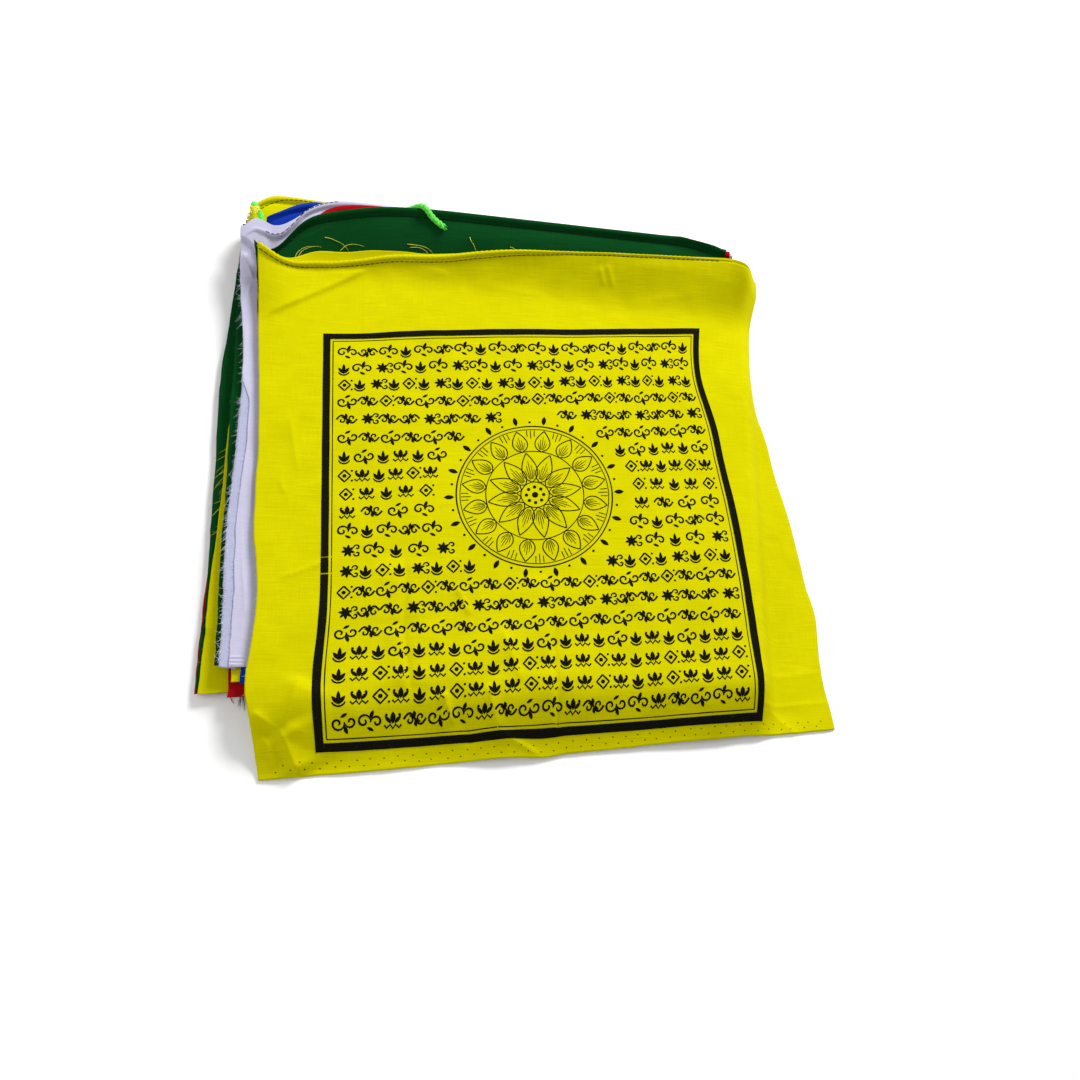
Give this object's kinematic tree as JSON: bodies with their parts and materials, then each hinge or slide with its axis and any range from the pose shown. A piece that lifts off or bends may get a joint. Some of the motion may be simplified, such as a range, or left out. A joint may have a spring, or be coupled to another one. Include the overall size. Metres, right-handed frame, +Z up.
{
  "type": "folded string of prayer flags",
  "caption": "Square cotton flags strung on a cord and folded to and fro into a flat pile, hemmed headings gathered along one side, with a loose cord end over the top.",
  "frame": {"origin": "middle of the pile's plan, on the surface it lies on", "axes": "+Z up from the surface, +X along the top flag's heading, +Y from the hem towards the heading"},
  "size_m": [0.366, 0.3752, 0.0434],
  "materials": {
    "yellow_cotton": "matte plain weave",
    "green_cotton": "matte plain weave",
    "red_cotton": "matte plain weave",
    "white_cotton": "matte plain weave",
    "blue_cotton": "matte plain weave",
    "cord": "twisted, slightly glossy"
  },
  "bodies": {
    "root": {"flag_00_yellow": "yellow_cotton", "flag_01_green": "green_cotton", "flag_02_red": "red_cotton", "flag_03_white": "white_cotton", "flag_04_blue": "blue_cotton", "flag_05_yellow": "yellow_cotton", "flag_06_green": "green_cotton", "flag_07_red": "red_cotton", "flag_08_white": "white_cotton", "flag_09_blue": "blue_cotton", "flag_10_yellow": "yellow_cotton", "flag_11_green": "green_cotton", "flag_12_red": "red_cotton", "flag_13_white": "white_cotton", "flag_14_blue": "blue_cotton", "cord_link": "cord", "cord_tail": "cord"}
  },
  "joints": []
}
